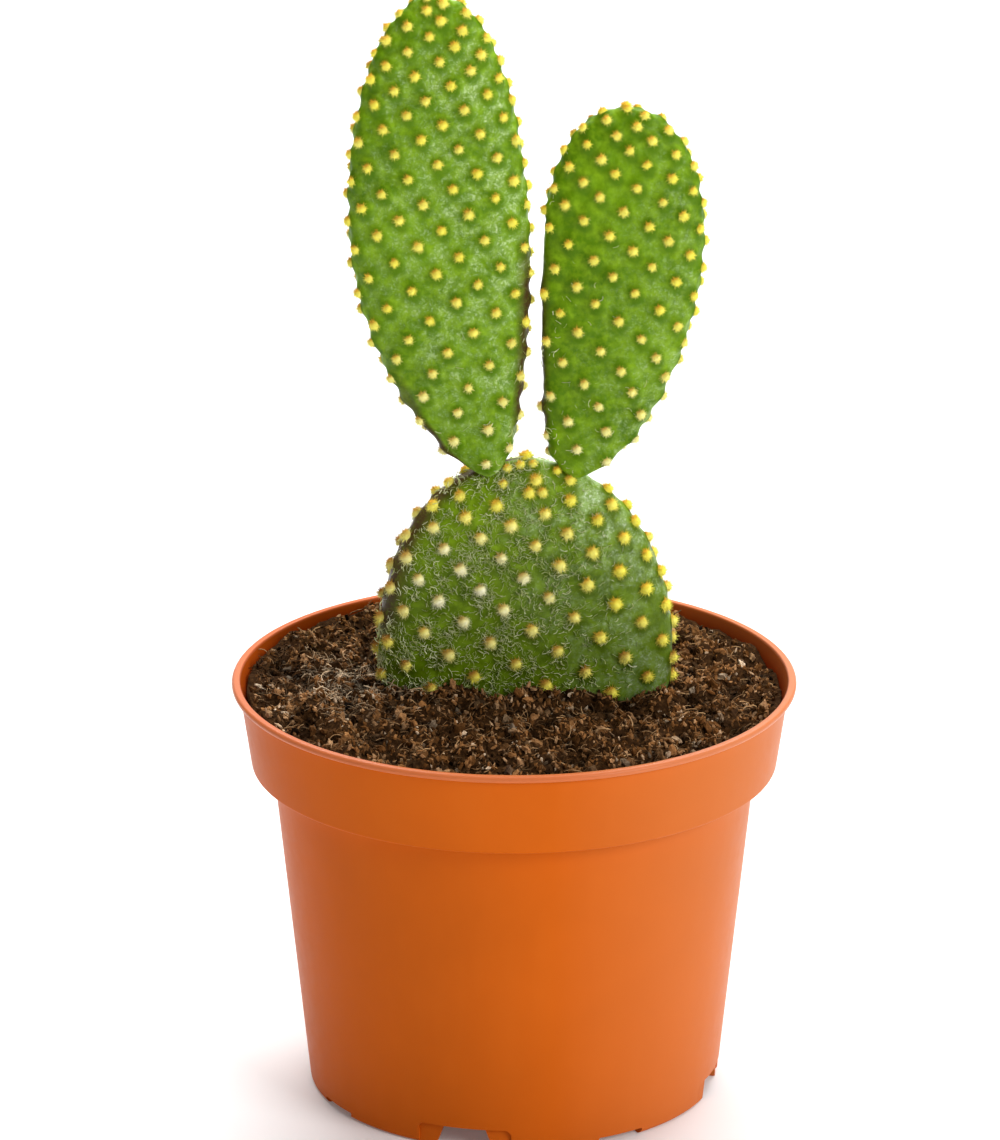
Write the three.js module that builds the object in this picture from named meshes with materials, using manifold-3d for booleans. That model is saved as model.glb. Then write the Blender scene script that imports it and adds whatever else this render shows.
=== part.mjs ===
// A paddle cactus of the bunny-ear kind in a moulded nursery pot: a base pad, two ear pads on its top edge,
// the roots under it and the peat that holds it. Millimetres, +Z up, -Y to the front, where the pads' broad
// faces look. The origin is the centre of the pot's foot ring, on the surface that the pot stands on.
import * as THREE from "three";
import { mergeVertices } from "three/addons/utils/BufferGeometryUtils.js";
import Module from "manifold-3d";

const wasm = await Module();
wasm.setup();

// Driving dimensions of the pot
const potHeight = 90.5;
const rimRadius = 60; // outside of the lip
const wall = 1.1;
const lipWidth = 1.9;
const lipThickness = 1.5;
const flareHeight = 4; // from the top down to where the inside starts to widen to the lip's inner edge
const collarTopRadius = 58.4;
const collarBottomRadius = 56;
const collarHeight = 17; // from the lip down to the collar's lower edge
const bodyFootRadius = 43.93; // the body's outside, carried down to the ground
const bodyTaper = 0.1045; // growth of the body's radius for each millimetre of height
const footInnerRadius = 42;
const footCorner = 0.9;
const floorUnderside = 5;
const potSegments = 48;
const notchCount = 4; // of each kind, in turn round the foot ring
const firstNotch = -14; // degrees from the front towards +X
const deepNotch = { halfTop: 4.7, halfBottom: 6.3, height: 4.6 };
const shallowNotch = { halfTop: 5.4, halfBottom: 4.6, height: 1.3 };
const notchWindow = { halfAngle: 13.2, height: 4.8, depth: 0.3 }; // the recess round a deep notch
const drainHoles = 8;
const drainRadius = 3;
const drainCircle = 27;

// Driving dimensions of the plant and the peat
const clearance = 0.3; // between pieces that touch
const tuftRadius = 1.35;
const tuftHeight = 1.5;
const padSides = 14;
const padRows = 18;
const tuftSides = 5;
const sectionPower = 2.6; // of the pads' sections: 2 is an ellipse, more is squarer
const edgeCrowding = 2.2; // of the areoles: more than 1 sets them closer on the pads' narrow sides
const tipCrowding = 1.35; // of the areoles: more than 1 sets them closer towards the pads' tips
const soilBottom = floorUnderside + wall + clearance;
const soilDropAtWall = 2.8;
const soilTilt = 0.6; // how much lower the peat lies at the wall on the +X side than in the middle
const soilSink = 0.9; // how far the peat lies under the rim's level at the plant
const heapPower = 1.1; // higher keeps the heap level for longer before it falls to the wall
const soilWaves = [
  { height: 0.5, alongX: 0.27, alongY: -0.38, phase: 2.3 },
  { height: 0.4, alongX: 0.5, alongY: 0.2, phase: 1.1 },
  { height: 0.4, alongX: -0.2, alongY: 0.45, phase: 0.4 },
  { height: 0.3, alongX: 0.44, alongY: -0.31, phase: 4 },
];
const soilHollow = { x: 18.9, y: -14, depth: 1.8, spread: 6.3 };
const crown = { radius: 7.2, waist: 5.4, end: 2.6, length: 24, intoPad: 4 };
const rootCount = 6;
const rootReach = 24;
const rootDrop = 32;
const rootRadius = 2.3;
const rootEndRadius = 0.8;

// Each pad is a row of level sections from its foot to its tip. Its centre line bends from the foot's
// place to the tip's, most of it near the foot. Its width is an ellipse's, times a cubic in the height
// (lean, fullness, flare), and the blunt powers round off its thickness at the two ends.
const basePad = {
  foot: new THREE.Vector3(2.8, 1, 61.3),
  tip: new THREE.Vector3(2.1, 1, 138.95),
  widestAt: 96,
  halfWidth: 31,
  halfThickness: 8,
  lean: 0.02,
  fullness: 0.03,
  flare: 0,
  footBlunt: 0.8,
  tipBlunt: 0.85,
  bend: 1,
  areoles: 200,
  turn: 1,
};
const leftEar = {
  foot: new THREE.Vector3(-5.4, -0.6, 135.65),
  tip: new THREE.Vector3(-16.2, 0.5, 239.2),
  widestAt: 188.4,
  halfWidth: 18.56,
  halfThickness: 4.9,
  lean: 0.04,
  fullness: -0.1,
  flare: 0.11,
  footBlunt: 0.4,
  tipBlunt: 0.8,
  bend: 4,
  areoles: 213,
  turn: 1,
};
const rightEar = {
  foot: new THREE.Vector3(13.1, -0.6, 135.45),
  tip: new THREE.Vector3(23.1, 0.5, 215.5),
  widestAt: 176.1,
  halfWidth: 16.35,
  halfThickness: 4.7,
  lean: 0.2,
  fullness: 0.08,
  flare: 0,
  footBlunt: 0.4,
  tipBlunt: 0.8,
  bend: 2.9,
  areoles: 165,
  turn: -1,
};

// A closed geometry as a solid that can be joined and cut.
function solidOf(geometry) {
  const bare = geometry.clone();
  bare.deleteAttribute("normal");
  bare.deleteAttribute("uv");
  const merged = mergeVertices(bare, 1e-4);
  const corners = merged.index.array;
  const kept = [];
  for (let i = 0; i < corners.length; i += 3) {
    const [a, b, c] = corners.slice(i, i + 3);
    if (a !== b && b !== c && c !== a) kept.push(a, b, c);
  }
  return new wasm.Manifold(
    new wasm.Mesh({
      numProp: 3,
      vertProperties: merged.attributes.position.array,
      triVerts: new Uint32Array(kept),
    }),
  );
}

// A solid as a named mesh with its own material.
function meshOf(name, solid, color, roughness) {
  const { numProp, vertProperties, triVerts } = solid.getMesh();
  const geometry = new THREE.BufferGeometry();
  geometry.setAttribute("position", new THREE.BufferAttribute(vertProperties, numProp));
  geometry.setIndex(new THREE.BufferAttribute(triVerts, 1));
  geometry.computeVertexNormals();
  const material = new THREE.MeshStandardMaterial({ color, roughness, metalness: 0 });
  const mesh = new THREE.Mesh(geometry, material);
  mesh.name = name;
  return mesh;
}

// A profile of [radius, height] pairs turned about +Z.
function turned(profile, segments) {
  const points = profile.map(([radius, height]) => new THREE.Vector2(radius, height));
  return new THREE.LatheGeometry(points, segments).rotateX(Math.PI / 2);
}

// The points of an arc in a profile, in degrees from outward, counterclockwise.
function arc(radius, height, size, from, to, steps) {
  const points = [];
  for (let i = 0; i <= steps; i++) {
    const angle = THREE.MathUtils.degToRad(from + ((to - from) * i) / steps);
    points.push([radius + size * Math.cos(angle), height + size * Math.sin(angle)]);
  }
  return points;
}

// ---- pot ----

const collarBottom = potHeight - lipThickness - collarHeight;
const bodyRadius = (height) => bodyFootRadius + bodyTaper * height;
const collarRadius = (height) => {
  const up = (height - collarBottom) / collarHeight;
  return THREE.MathUtils.lerp(collarBottomRadius, collarTopRadius, up);
};
const shelf = collarBottom + wall; // the ledge inside, where the body steps out to the collar
const floorTop = floorUnderside + wall;

function potSolid() {
  const edge = lipThickness / 2;
  const innerCorner = 0.5;
  const collarCorner = 0.6;
  const rimInner = rimRadius - lipWidth;
  const outside = [
    [0, floorUnderside],
    [footInnerRadius, floorUnderside],
    [footInnerRadius, 0],
    ...arc(bodyRadius(footCorner) - footCorner, footCorner, footCorner, -90, 0, 3),
    [bodyRadius(collarBottom), collarBottom],
    ...arc(collarBottomRadius - collarCorner, collarBottom + collarCorner, collarCorner, -90, 0, 2),
    [collarTopRadius, potHeight - lipThickness],
    ...arc(rimRadius - edge, potHeight - edge, edge, -90, 90, 4),
  ];
  const inside = [
    ...arc(rimInner + innerCorner, potHeight - innerCorner, innerCorner, 90, 180, 1),
    [collarRadius(potHeight - flareHeight) - wall, potHeight - flareHeight],
    [collarRadius(shelf) - wall, shelf],
    [bodyRadius(shelf) - wall, shelf],
    [bodyRadius(floorTop) - wall, floorTop],
    [0, floorTop],
  ];
  const cuts = [];
  for (let i = 0; i < notchCount; i++) {
    const turnedBy = firstNotch + (i * 360) / notchCount;
    cuts.push(solidOf(notch(turnedBy, deepNotch)));
    cuts.push(solidOf(recess(turnedBy, notchWindow)));
    cuts.push(solidOf(notch(turnedBy + 180 / notchCount, shallowNotch)));
  }
  for (let i = 0; i < drainHoles; i++) {
    const angle = (i * 2 * Math.PI) / drainHoles;
    cuts.push(solidOf(drain(drainCircle * Math.cos(angle), drainCircle * Math.sin(angle))));
  }
  cuts.push(solidOf(drain(0, 0)));
  return solidOf(turned([...outside, ...inside], potSegments)).subtract(wasm.Manifold.union(cuts));
}

// A gap cut through the foot ring, as a trapezoid seen from outside.
function notch(degrees, { halfTop, halfBottom, height }) {
  const below = 1;
  const corner = 0.5;
  const reach = 8;
  const spread = (halfBottom - halfTop) / height;
  const shape = new THREE.Shape([
    new THREE.Vector2(-halfBottom - spread * below, -below),
    new THREE.Vector2(halfBottom + spread * below, -below),
    new THREE.Vector2(halfTop, height - corner),
    new THREE.Vector2(halfTop - corner, height),
    new THREE.Vector2(corner - halfTop, height),
    new THREE.Vector2(-halfTop, height - corner),
  ]);
  return new THREE.ExtrudeGeometry(shape, { depth: reach, bevelEnabled: false })
    .rotateX(Math.PI / 2)
    .translate(0, -footInnerRadius + reach / 4, 0)
    .rotateZ(THREE.MathUtils.degToRad(degrees));
}

// A shallow recess in the outside of the foot ring, from the ground up.
function recess(degrees, { halfAngle, height, depth }) {
  const below = 1;
  const inner = bodyFootRadius - depth;
  const outer = bodyFootRadius + 4;
  const half = THREE.MathUtils.degToRad(halfAngle);
  const middle = THREE.MathUtils.degToRad(degrees - 90);
  const shape = new THREE.Shape();
  shape.absarc(0, 0, inner, middle - half, middle + half, false);
  shape.absarc(0, 0, outer, middle + half, middle - half, true);
  const options = { depth: height + below, bevelEnabled: false, curveSegments: 4 };
  return new THREE.ExtrudeGeometry(shape, options).translate(0, 0, -below);
}

function drain(x, y) {
  const depth = 4;
  return new THREE.CylinderGeometry(drainRadius, drainRadius, depth, 12)
    .rotateX(Math.PI / 2)
    .translate(x, y, floorUnderside + wall / 2);
}

// ---- pads ----

const signedPower = (value, power) => Math.sign(value) * Math.abs(value) ** power;

// The section of a pad at rise, which runs from -1 at the foot to 1 at the tip.
function section(pad, rise, grow = 0) {
  const reach = rise > 0 ? pad.tip.z - pad.widestAt : pad.widestAt - pad.foot.z;
  const z = pad.widestAt + rise * reach;
  const up = (z - pad.foot.z) / (pad.tip.z - pad.foot.z);
  const round = Math.sqrt(Math.max(0, 1 - rise * rise));
  const blunt = THREE.MathUtils.lerp(pad.footBlunt, pad.tipBlunt, (rise + 1) / 2);
  const swell = 1 + pad.lean * rise + pad.fullness * rise ** 2 + pad.flare * rise ** 3;
  return {
    x: pad.tip.x + (pad.foot.x - pad.tip.x) * (1 - up) ** pad.bend,
    y: THREE.MathUtils.lerp(pad.foot.y, pad.tip.y, up),
    z: z + rise * grow,
    halfWidth: pad.halfWidth * swell * round + grow * Math.sqrt(round),
    halfThickness: pad.halfThickness * round ** blunt + grow * Math.sqrt(round),
  };
}

function skinPoint(pad, rise, angle, grow = 0) {
  const at = section(pad, rise, grow);
  return new THREE.Vector3(
    at.x + at.halfWidth * signedPower(Math.cos(angle), 2 / sectionPower),
    at.y + at.halfThickness * signedPower(Math.sin(angle), 2 / sectionPower),
    at.z,
  );
}

function skinNormal(pad, rise, angle) {
  const step = 1e-3;
  const along = skinPoint(pad, Math.min(1, rise + step), angle);
  along.sub(skinPoint(pad, Math.max(-1, rise - step), angle));
  const across = skinPoint(pad, rise, angle + step).sub(skinPoint(pad, rise, angle - step));
  return across.cross(along).normalize();
}

// The pad's body without its tufts, larger by grow on all sides.
function padBody(pad, grow = 0) {
  const geometry = new THREE.SphereGeometry(1, padSides, padRows).rotateX(Math.PI / 2);
  const position = geometry.attributes.position;
  for (let i = 0; i < position.count; i++) {
    const rise = THREE.MathUtils.clamp(position.getZ(i), -1, 1);
    const angle = Math.atan2(position.getY(i), position.getX(i));
    const point = skinPoint(pad, Math.abs(rise) > 1 - 1e-9 ? Math.sign(rise) : rise, angle, grow);
    position.setXYZ(i, point.x, point.y, point.z);
  }
  return solidOf(geometry);
}

// True where a point is inside the pad or within margin of its skin.
function isInPad(pad, point, margin) {
  const reach = point.z > pad.widestAt ? pad.tip.z - pad.widestAt : pad.widestAt - pad.foot.z;
  const rise = (point.z - pad.widestAt) / (reach + margin);
  if (Math.abs(rise) >= 1) return false;
  const at = section(pad, rise);
  const x = Math.abs(point.x - at.x) / (at.halfWidth + margin);
  const y = Math.abs(point.y - at.y) / (at.halfThickness + margin);
  return x ** sectionPower + y ** sectionPower < 1;
}

// Where the areoles sit on a pad: each is a golden angle further round than the last, by length of skin,
// and has a like area of skin, but less towards the tip and on the narrow sides.
function areolesOf(pad) {
  const rows = 200;
  const around = 64;
  const goldenTurn = 0.381966;
  const rises = [];
  const areas = [0];
  for (let i = 0; i <= rows; i++) rises.push(-Math.cos((Math.PI * i) / rows));
  for (let i = 1; i <= rows; i++) {
    const low = section(pad, rises[i - 1]);
    const high = section(pad, rises[i]);
    const slant = Math.hypot(high.z - low.z, high.halfThickness - low.halfThickness);
    const girth = girthOf(pad, (rises[i - 1] + rises[i]) / 2, around).at(-1);
    areas.push(areas[i - 1] + girth * slant);
  }
  const places = [];
  for (let n = 0; n < pad.areoles; n++) {
    const share = 1 - (1 - (n + 0.9) / pad.areoles) ** tipCrowding;
    const rise = lookUp(areas, rises, share * areas.at(-1));
    const lengths = girthOf(pad, rise, around);
    const angles = lengths.map((_, i) => (2 * Math.PI * i) / around);
    const wander = 0.5 * Math.sin(7.3 * n);
    const turn = pad.turn * n * goldenTurn;
    const length = (turn - Math.floor(turn)) * lengths.at(-1) + wander;
    const angle = lookUp(lengths, angles, THREE.MathUtils.euclideanModulo(length, lengths.at(-1)));
    places.push({ point: skinPoint(pad, rise, angle), normal: skinNormal(pad, rise, angle) });
  }
  return places;
}

// The lengths round a section from its +X edge to each of a number of angles, longer than they are where
// the areoles crowd.
function girthOf(pad, rise, around) {
  const lengths = [0];
  for (let i = 1; i <= around; i++) {
    const from = skinPoint(pad, rise, (2 * Math.PI * (i - 1)) / around);
    const to = skinPoint(pad, rise, (2 * Math.PI * i) / around);
    lengths.push(lengths[i - 1] + Math.hypot(to.x - from.x, edgeCrowding * (to.y - from.y)));
  }
  return lengths;
}

// The value at an amount, between the entries of two rising lists.
function lookUp(amounts, values, amount) {
  let i = 1;
  while (i < amounts.length - 1 && amounts[i] < amount) i++;
  const part = (amount - amounts[i - 1]) / (amounts[i] - amounts[i - 1]);
  return THREE.MathUtils.lerp(values[i - 1], values[i], part);
}

// A tuft of barbed bristles as a low cone with few sides, with its root sunk in the skin.
function tuftSolid({ point, normal }) {
  const rootDepth = 1.5;
  const skirt = 0.45;
  const profile = [
    [0, -rootDepth],
    [tuftRadius * 1.15, -skirt],
    [0, tuftHeight],
  ];
  const upright = new THREE.Quaternion().setFromUnitVectors(new THREE.Vector3(0, 0, 1), normal);
  const place = new THREE.Matrix4().compose(point, upright, new THREE.Vector3(1, 1, 1));
  return solidOf(turned(profile, tuftSides).applyMatrix4(place));
}

// The areoles of a pad whose tufts stand clear of the peat, of the other pads and of their tufts.
function clearAreoles(pad, others, taken) {
  const nearPad = 1.8;
  const nearTuft = 3.1;
  const overPeat = 2.3;
  return areolesOf(pad).filter(({ point, normal }) => {
    const tip = point.clone().addScaledVector(normal, tuftHeight);
    const outward = point.clone().addScaledVector(normal, 2 * tuftHeight);
    if (point.z < soilHeight(outward.x, outward.y) + overPeat) return false;
    if (others.some((other) => isInPad(other, point, nearPad))) return false;
    return !taken.some((place) => place.distanceTo(tip) < nearTuft);
  });
}

// ---- peat and roots ----

const soilRadius = (height) => {
  const outside = height <= shelf + clearance ? bodyRadius(height) : collarRadius(height);
  return outside - wall - clearance;
};

// The height of the peat's surface: heaped round the plant, low at the wall, lumpy all over, with one
// hollow in front of the base pad's right side.
function soilHeight(x, y) {
  const wallHeight = potHeight - soilDropAtWall;
  const out = Math.min(1, Math.hypot(x, y) / soilRadius(wallHeight));
  const atWall = wallHeight - soilTilt * Math.cos(Math.atan2(y, x)) * out;
  const heap = THREE.MathUtils.lerp(potHeight - soilSink, atWall, out ** heapPower);
  let lumps = 0;
  for (const { height, alongX, alongY, phase } of soilWaves) {
    lumps += height * Math.sin(alongX * x + alongY * y + phase);
  }
  const fromHollow = Math.hypot(x - soilHollow.x, y - soilHollow.y) / soilHollow.spread;
  return heap + lumps - soilHollow.depth * Math.exp(-(fromHollow ** 2));
}

function soilSolid(holes) {
  const rings = 8;
  const edge = potHeight - soilDropAtWall;
  const rim = soilRadius(edge);
  const profile = [
    [0, soilBottom],
    [soilRadius(soilBottom), soilBottom],
    [soilRadius(shelf + clearance), shelf + clearance],
    [soilRadius(shelf + clearance + 0.01), shelf + clearance],
  ];
  for (let i = 0; i <= rings; i++) profile.push([rim * (1 - i / rings), edge]);
  const geometry = turned(profile, 36);
  const position = geometry.attributes.position;
  for (let i = 0; i < position.count; i++) {
    if (position.getZ(i) < edge - 1e-3) continue;
    const height = soilHeight(position.getX(i), position.getY(i));
    const out = soilRadius(height) / rim;
    position.setXYZ(i, out * position.getX(i), out * position.getY(i), height);
  }
  return solidOf(geometry).subtract(holes);
}

// The root crown under the base pad and the main roots that spread from it, larger by grow.
function rootsSolid(grow = 0) {
  const top = basePad.foot.z + crown.intoPad;
  const profile = [
    [0, top - crown.length - 2 - grow],
    [crown.end + grow, top - crown.length],
    [crown.waist + grow, top - crown.length / 2],
    [crown.radius + grow, top],
    [0, top + grow],
  ];
  const centre = new THREE.Vector3(basePad.foot.x, basePad.foot.y, top - crown.length / 2);
  const parts = [solidOf(turned(profile, 8).translate(centre.x, centre.y, 0))];
  for (let i = 0; i < rootCount; i++) {
    const angle = (2 * Math.PI * (i + 0.35 * Math.sin(5 * i))) / rootCount;
    const reach = rootReach + 5 * Math.sin(3 * i + 1);
    const start = centre.clone().add(new THREE.Vector3(0, 0, -2 * (i % 3)));
    const outward = new THREE.Vector3(Math.cos(angle), Math.sin(angle), 0).multiplyScalar(reach);
    const bend = start.clone().addScaledVector(outward, 0.7);
    const end = start.clone().add(outward);
    bend.z -= 4;
    end.z -= rootDrop - 4 * (i % 2);
    const route = new THREE.QuadraticBezierCurve3(start, bend, end);
    parts.push(solidOf(taperedTube(route, rootRadius + grow, rootEndRadius + grow, grow)));
  }
  return wasm.Manifold.union(parts);
}

// A round bar along a curve, thinner towards its end and longer there by extra.
function taperedTube(curve, startRadius, endRadius, extra) {
  const steps = 5;
  const geometry = new THREE.CylinderGeometry(1, 1, 1, 5, steps);
  const position = geometry.attributes.position;
  const frames = curve.computeFrenetFrames(steps);
  for (let i = 0; i < position.count; i++) {
    const along = position.getY(i) + 0.5;
    const step = Math.round(along * steps);
    const radius = THREE.MathUtils.lerp(startRadius, endRadius, along);
    const point = curve.getPointAt(along);
    point.addScaledVector(frames.normals[step], -radius * position.getX(i));
    point.addScaledVector(frames.binormals[step], radius * position.getZ(i));
    point.addScaledVector(frames.tangents[step], extra * (2 * along - 1));
    position.setXYZ(i, point.x, point.y, point.z);
  }
  return geometry;
}

// ---- the whole ----

const grownBase = padBody(basePad, clearance);
const ears = [leftEar, rightEar];
const leftPlaces = clearAreoles(leftEar, [rightEar, basePad], []);
const leftTips = leftPlaces.map(({ point, normal }) => point.clone().addScaledVector(normal, tuftHeight));
const rightPlaces = clearAreoles(rightEar, [leftEar, basePad], leftTips);
const basePlaces = clearAreoles(basePad, ears, []);

const padWithTufts = (pad, places) => wasm.Manifold.union([padBody(pad), ...places.map(tuftSolid)]);

const cactus = new THREE.Group();
const soilHoles = grownBase.add(rootsSolid(clearance));
cactus.add(
  meshOf("pot", potSolid(), 0xcf6628, 0.38),
  meshOf("soil", soilSolid(soilHoles), 0x4a3426, 0.95),
  meshOf("roots", rootsSolid().subtract(grownBase), 0x8a6a48, 0.85),
  meshOf("base_pad", padWithTufts(basePad, basePlaces), 0x4f7a35, 0.5),
  meshOf("left_ear_pad", padWithTufts(leftEar, leftPlaces).subtract(grownBase), 0x5f9c33, 0.5),
  meshOf("right_ear_pad", padWithTufts(rightEar, rightPlaces).subtract(grownBase), 0x5f9c33, 0.5),
);

export default cactus;
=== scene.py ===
import math

import bmesh
import bpy
import numpy as np
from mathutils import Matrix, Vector, noise
from mathutils.kdtree import KDTree


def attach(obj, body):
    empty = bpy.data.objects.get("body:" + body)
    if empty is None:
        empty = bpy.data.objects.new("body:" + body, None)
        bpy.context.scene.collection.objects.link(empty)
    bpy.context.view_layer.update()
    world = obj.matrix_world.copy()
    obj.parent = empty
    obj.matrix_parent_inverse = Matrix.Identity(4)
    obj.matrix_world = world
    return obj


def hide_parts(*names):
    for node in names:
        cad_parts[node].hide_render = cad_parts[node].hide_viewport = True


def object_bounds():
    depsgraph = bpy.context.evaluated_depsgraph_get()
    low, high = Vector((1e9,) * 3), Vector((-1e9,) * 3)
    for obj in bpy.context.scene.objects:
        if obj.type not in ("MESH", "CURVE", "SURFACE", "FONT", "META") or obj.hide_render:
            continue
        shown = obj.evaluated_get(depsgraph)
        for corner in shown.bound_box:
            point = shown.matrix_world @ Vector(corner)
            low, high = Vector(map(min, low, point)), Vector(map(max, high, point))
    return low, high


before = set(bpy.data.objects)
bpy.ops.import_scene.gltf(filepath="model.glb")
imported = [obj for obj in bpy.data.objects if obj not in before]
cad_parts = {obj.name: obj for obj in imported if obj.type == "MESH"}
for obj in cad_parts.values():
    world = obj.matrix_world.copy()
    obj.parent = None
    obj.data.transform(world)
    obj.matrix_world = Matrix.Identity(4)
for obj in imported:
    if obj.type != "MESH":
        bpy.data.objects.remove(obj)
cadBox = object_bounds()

mm = 0.001
turn = 2 * math.pi
scene = bpy.context.scene
print("frame loaded:", ", ".join(sorted(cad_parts)))


def newPiece(name, verts, faces, material, smooth=True):
    mesh = bpy.data.meshes.new(name)
    mesh.from_pydata([tuple(v) for v in verts], [], faces)
    mesh.validate()
    mesh.materials.append(material)
    mesh.polygons.foreach_set("use_smooth", [smooth] * len(mesh.polygons))
    piece = bpy.data.objects.new(name, mesh)
    scene.collection.objects.link(piece)
    return piece


def floatAttribute(mesh, name, values):
    layer = mesh.attributes.new(name, "FLOAT", "POINT")
    layer.data.foreach_set("value", np.asarray(values, dtype=np.float32))


def vectorAttribute(mesh, name, values):
    layer = mesh.attributes.new(name, "FLOAT_VECTOR", "POINT")
    layer.data.foreach_set("vector", np.asarray(values, dtype=np.float32).ravel())


def wire(tree, socket, value):
    if isinstance(value, bpy.types.NodeSocket):
        tree.links.new(value, socket)
    else:
        socket.default_value = value


def addNode(tree, kind, inputs=None, **settings):
    made = tree.nodes.new(kind)
    for key, value in settings.items():
        setattr(made, key, value)
    for key, value in (inputs or {}).items():
        wire(tree, made.inputs[key], value)
    return made


def mathNode(tree, operation, a, b=None):
    inputs = {0: a} if b is None else {0: a, 1: b}
    return addNode(tree, "ShaderNodeMath", inputs, operation=operation).outputs[0]


def times(tree, a, b):
    return mathNode(tree, "MULTIPLY", a, b)


def plus(tree, a, b):
    return mathNode(tree, "ADD", a, b)


def vectorNode(tree, operation, a, b=(0, 0, 0)):
    made = addNode(tree, "ShaderNodeVectorMath", {0: a, 1: b}, operation=operation)
    return made.outputs["Value" if operation == "DOT_PRODUCT" else "Vector"]


def scaled(tree, vector, amount):
    made = addNode(tree, "ShaderNodeVectorMath", {0: vector, "Scale": amount}, operation="SCALE")
    return made.outputs["Vector"]


def combined(tree, x, y, z):
    return addNode(tree, "ShaderNodeCombineXYZ", {"X": x, "Y": y, "Z": z}).outputs[0]


def randomBetween(tree, low, high, seed, kind="FLOAT"):
    made = addNode(tree, "FunctionNodeRandomValue", {"Seed": seed}, data_type=kind)
    pair = [s for s in made.inputs if s.enabled and s.name in ("Min", "Max")]
    for socket, value in zip(pair, (low, high)):
        wire(tree, socket, value)
    return next(s for s in made.outputs if s.enabled)


def attributeIn(tree, name, kind="FLOAT"):
    made = addNode(tree, "GeometryNodeInputNamedAttribute", {"Name": name}, data_type=kind)
    return next(s for s in made.outputs if s.enabled and s.name == "Attribute")


def storeAs(tree, geometry, name, value, domain="POINT"):
    made = addNode(tree, "GeometryNodeStoreNamedAttribute", {"Geometry": geometry, "Name": name},
                   data_type="FLOAT", domain=domain)
    wire(tree, next(s for s in made.inputs if s.enabled and s.name == "Value"), value)
    return made.outputs["Geometry"]


def moved(tree, geometry, offset):
    return addNode(tree, "GeometryNodeSetPosition", {"Geometry": geometry, "Offset": offset}).outputs[0]


def turnedTo(tree, vector):
    return addNode(tree, "FunctionNodeAlignRotationToVector", {"Vector": vector}, axis="Z").outputs[0]


def scatterOn(tree, given, density, more=None):
    inputs = {"Mesh": given["Geometry"], "Density": density, "Seed": given["Seed"], **(more or {})}
    return addNode(tree, "GeometryNodeDistributePointsOnFaces", inputs, distribute_method="RANDOM").outputs


# Puts a shape on every point and keeps how light each one is.
def placed(tree, points, shape, rotation, scale, shade, more=None):
    inputs = {"Points": points, "Instance": shape, "Rotation": rotation, "Scale": scale, **(more or {})}
    instances = addNode(tree, "GeometryNodeInstanceOnPoints", inputs).outputs[0]
    return storeAs(tree, instances, "shade", shade, "INSTANCE")


def joined(tree, parts):
    made = tree.nodes.new("GeometryNodeJoinGeometry")
    for part in parts:
        tree.links.new(part, made.inputs[0])
    return made.outputs[0]


def newTree(name, inputs):
    kinds = {float: "NodeSocketFloat", int: "NodeSocketInt", bpy.types.Material: "NodeSocketMaterial"}
    tree = bpy.data.node_groups.new(name, "GeometryNodeTree")
    tree.interface.new_socket("Geometry", in_out="INPUT", socket_type="NodeSocketGeometry")
    for label, value in inputs.items():
        socket = tree.interface.new_socket(label, in_out="INPUT", socket_type=kinds[type(value)])
        socket.default_value = value
    tree.interface.new_socket("Geometry", in_out="OUTPUT", socket_type="NodeSocketGeometry")
    return tree, tree.nodes.new("NodeGroupInput").outputs


def endTree(tree, instances, material):
    realized = addNode(tree, "GeometryNodeRealizeInstances", {"Geometry": instances}).outputs[0]
    painted = addNode(tree, "GeometryNodeSetMaterial", {"Geometry": realized, "Material": material})
    out = tree.nodes.new("NodeGroupOutput")
    tree.links.new(painted.outputs[0], out.inputs[0])


# Grows a tree's geometry on a host and gives it as a piece of its own.
def grow(host, tree, values, name):
    modifier = host.modifiers.new(tree.name, "NODES")
    modifier.node_group = tree
    for item in tree.interface.items_tree:
        if item.item_type == "SOCKET" and item.in_out == "INPUT" and item.name in values:
            modifier[item.identifier] = values[item.name]
    graph = bpy.context.evaluated_depsgraph_get()
    mesh = bpy.data.meshes.new_from_object(host.evaluated_get(graph), depsgraph=graph)
    host.modifiers.remove(modifier)
    mesh.name = name
    piece = bpy.data.objects.new(name, mesh)
    scene.collection.objects.link(piece)
    return piece


def finishPiece(piece, node):
    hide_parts(node)
    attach(piece, "root")


def shaderTree(name, roughness=0.5, specular=0.5):
    material = bpy.data.materials.new(name)
    material.use_nodes = True
    tree = material.node_tree
    tree.nodes.clear()
    surface = tree.nodes.new("ShaderNodeBsdfPrincipled")
    surface.inputs["Roughness"].default_value = roughness
    surface.inputs["Specular IOR Level"].default_value = specular
    out = tree.nodes.new("ShaderNodeOutputMaterial")
    tree.links.new(surface.outputs[0], out.inputs["Surface"])
    return material, tree, surface


def objectPlace(tree, scale=(1, 1, 1)):
    place = tree.nodes.new("ShaderNodeTexCoord").outputs["Object"]
    return addNode(tree, "ShaderNodeMapping", {"Vector": place, "Scale": scale}).outputs[0]


def shaderAttribute(tree, name):
    return addNode(tree, "ShaderNodeAttribute", attribute_name=name).outputs["Fac"]


def noiseAt(tree, place, size, detail=4.0, roughness=0.55, distortion=0.0):
    inputs = {"Vector": place, "Scale": 1 / size, "Detail": detail, "Roughness": roughness,
              "Distortion": distortion}
    return addNode(tree, "ShaderNodeTexNoise", inputs).outputs["Fac"]


def ramp(tree, value, stops):
    made = addNode(tree, "ShaderNodeValToRGB", {"Fac": value})
    band = made.color_ramp
    stops = list(stops)
    while len(band.elements) < len(stops):
        band.elements.new(0.5)
    for element, (position, color) in zip(band.elements, stops):
        element.position = position
        element.color = (*color, 1)
    return made.outputs["Color"]


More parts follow.
